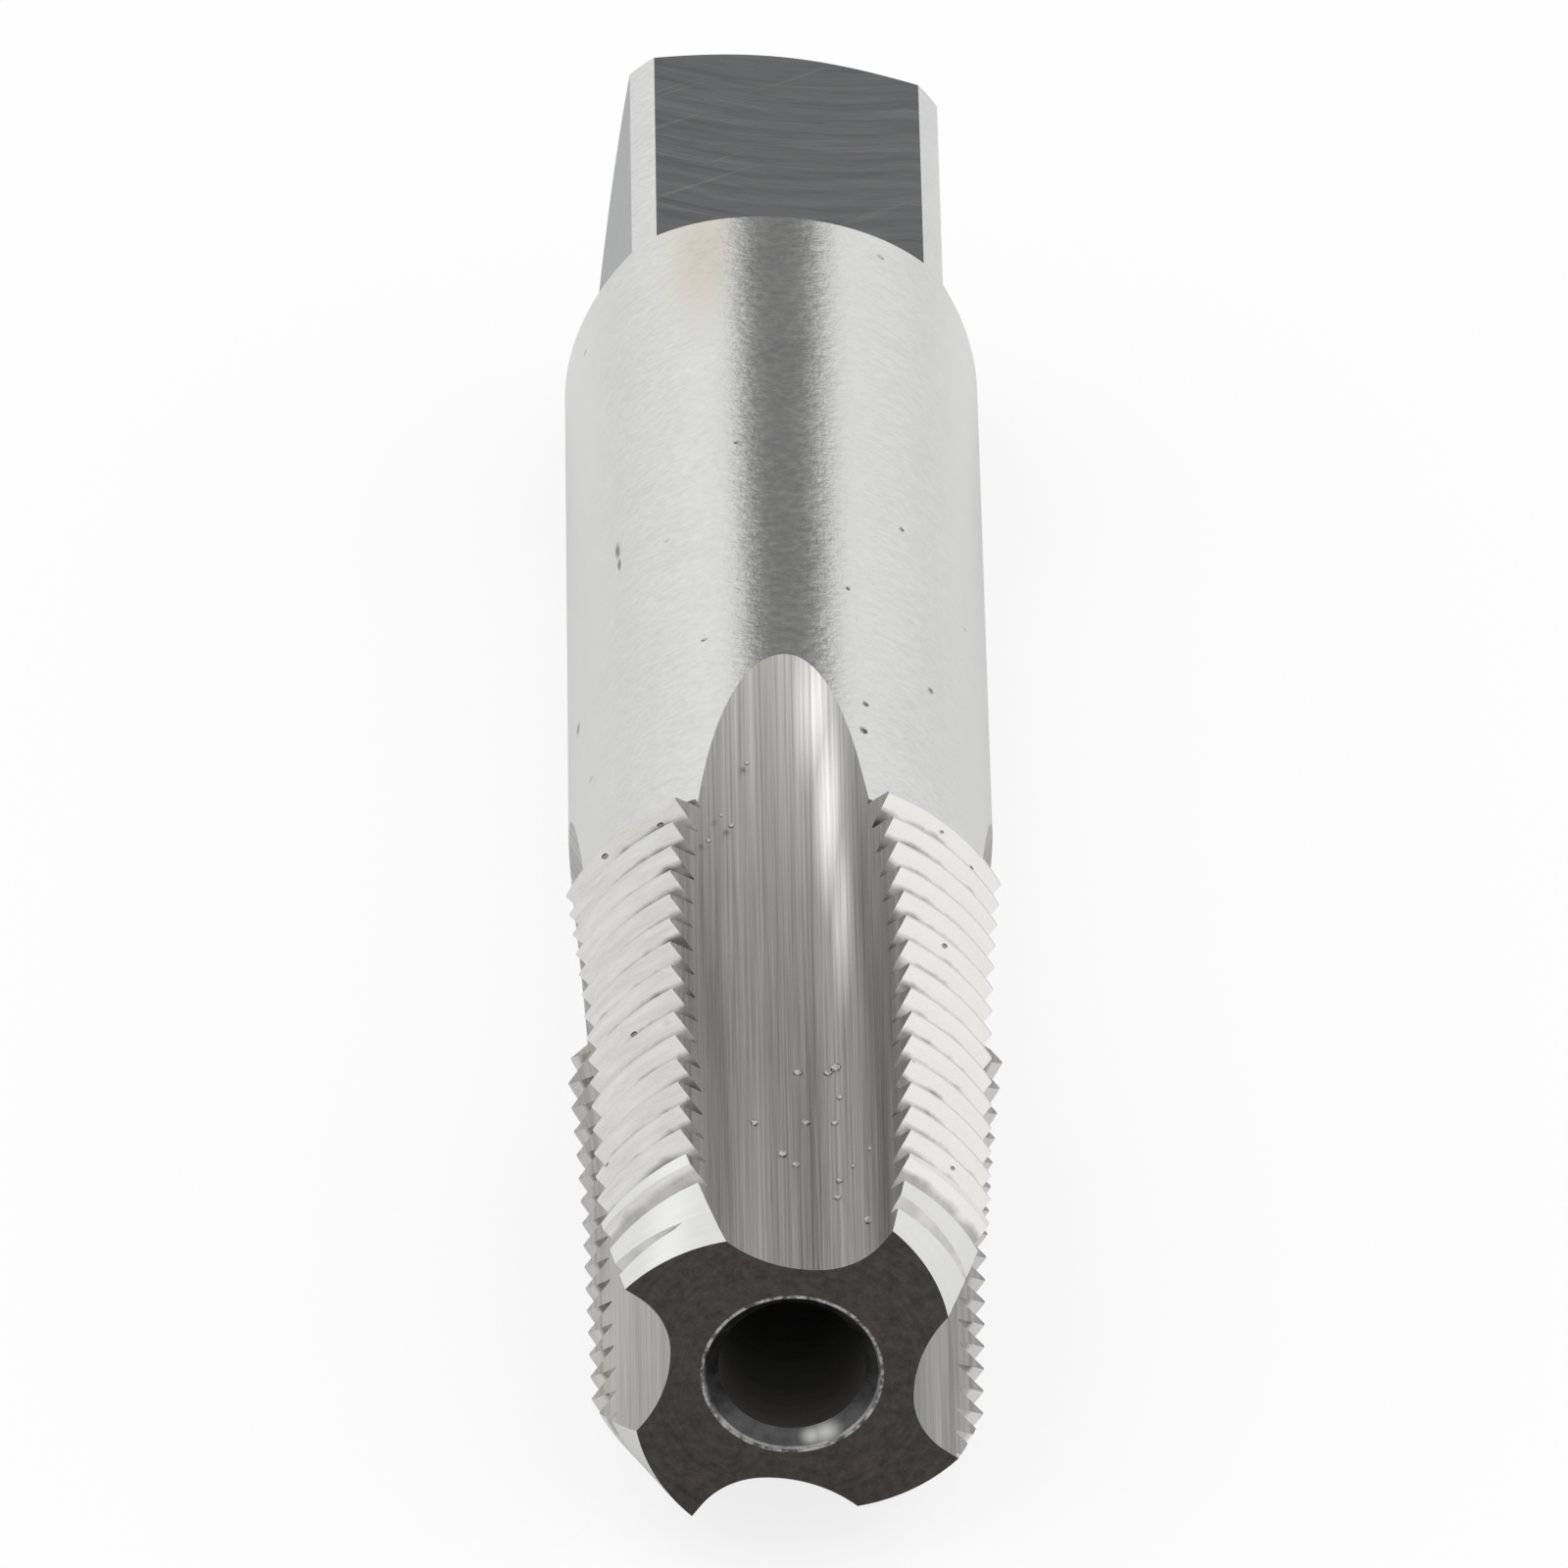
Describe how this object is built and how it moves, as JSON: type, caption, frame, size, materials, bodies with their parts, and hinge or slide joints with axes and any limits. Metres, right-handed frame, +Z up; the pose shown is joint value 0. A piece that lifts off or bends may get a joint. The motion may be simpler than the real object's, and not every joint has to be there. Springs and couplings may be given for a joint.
{
  "type": "thread tap",
  "caption": "Right-hand taper pipe tap with straight flutes, a round shank, a driving square and a centre bore in its cutting end.",
  "frame": {"origin": "on the flat that the tap lies on, under the middle of its length and its turning axis", "axes": "+Y runs along the tap from the cutting end to the driving square, +Z is up from the flat that it lies on, and +X is to the right seen from the cutting end"},
  "size_m": [0.0142, 0.0778, 0.0143],
  "materials": {
    "high_speed_steel": "ground bright, with a darker milled square and front face"
  },
  "bodies": {
    "root": {"pipe_tap": "high_speed_steel"}
  },
  "joints": []
}
